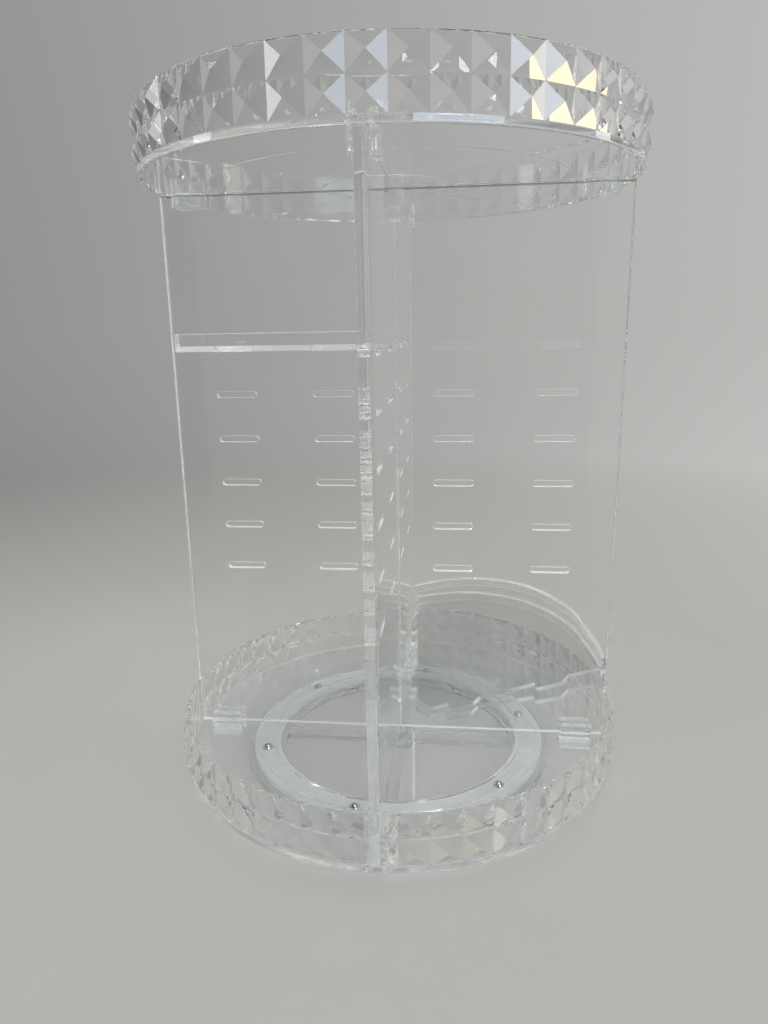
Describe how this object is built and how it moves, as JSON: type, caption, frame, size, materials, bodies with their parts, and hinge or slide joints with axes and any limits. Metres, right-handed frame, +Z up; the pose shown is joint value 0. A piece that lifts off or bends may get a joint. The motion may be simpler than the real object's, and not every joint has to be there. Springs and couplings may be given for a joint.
{
  "type": "rotating organizer",
  "caption": "Clear turning organizer: faceted round trays above and below crossed slotted panels, quarter-round shelves that clip into the slots, on a ball-bearing turntable base.",
  "frame": {"origin": "on the table under the turning axis, level with the undersides of the pads", "axes": "+Z up along the turning axis, X along the wide panel, Y along the cross panel, the mounted shelf between -X and +Y"},
  "size_m": [0.23, 0.23, 0.3183],
  "materials": {
    "clear_tray": "clear, polished",
    "clear_panel": "clear, polished",
    "clear_shelf": "clear, polished",
    "clear_base": "clear, polished",
    "cage": "pale, translucent",
    "ball_steel": "polished",
    "pad": "soft, pale"
  },
  "bodies": {
    "base": {"turntable_base": "clear_base", "base_pads": "pad"},
    "bearing": {"ball_cage": "cage", "bearing_balls": "ball_steel"},
    "carousel": {"bottom_tray": "clear_tray", "pivot_pin": "clear_base", "wide_panel": "clear_panel", "cross_panel": "clear_panel", "top_tray": "clear_tray"},
    "shelf": {"mounted_shelf": "clear_shelf"},
    "loose_lower": {"loose_shelf_lower": "clear_shelf"},
    "loose_upper": {"loose_shelf_upper": "clear_shelf"}
  },
  "joints": [
    {"name": "tray_spin", "type": "hinge", "parent": "base", "child": "carousel", "pos_m": [0, 0, 0], "axis": [0, 0, 1], "continuous": true},
    {"name": "cage_spin", "type": "hinge", "parent": "base", "child": "bearing", "pos_m": [0, 0, 0], "axis": [0, 0, 1], "continuous": true},
    {"name": "shelf_slide", "type": "slide", "parent": "carousel", "child": "shelf", "axis": [-0.7071, 0.7071, 0], "range_m": [0, 0.12]},
    {"name": "loose_lower_lift", "type": "slide", "parent": "carousel", "child": "loose_lower", "axis": [0, 0, 1], "range_m": [0, 0.1]},
    {"name": "loose_upper_lift", "type": "slide", "parent": "loose_lower", "child": "loose_upper", "axis": [0, 0, 1], "range_m": [0, 0.08]}
  ],
  "couplings": [
    {"joint": "cage_spin", "follows": "tray_spin", "ratio": 0.5}
  ]
}
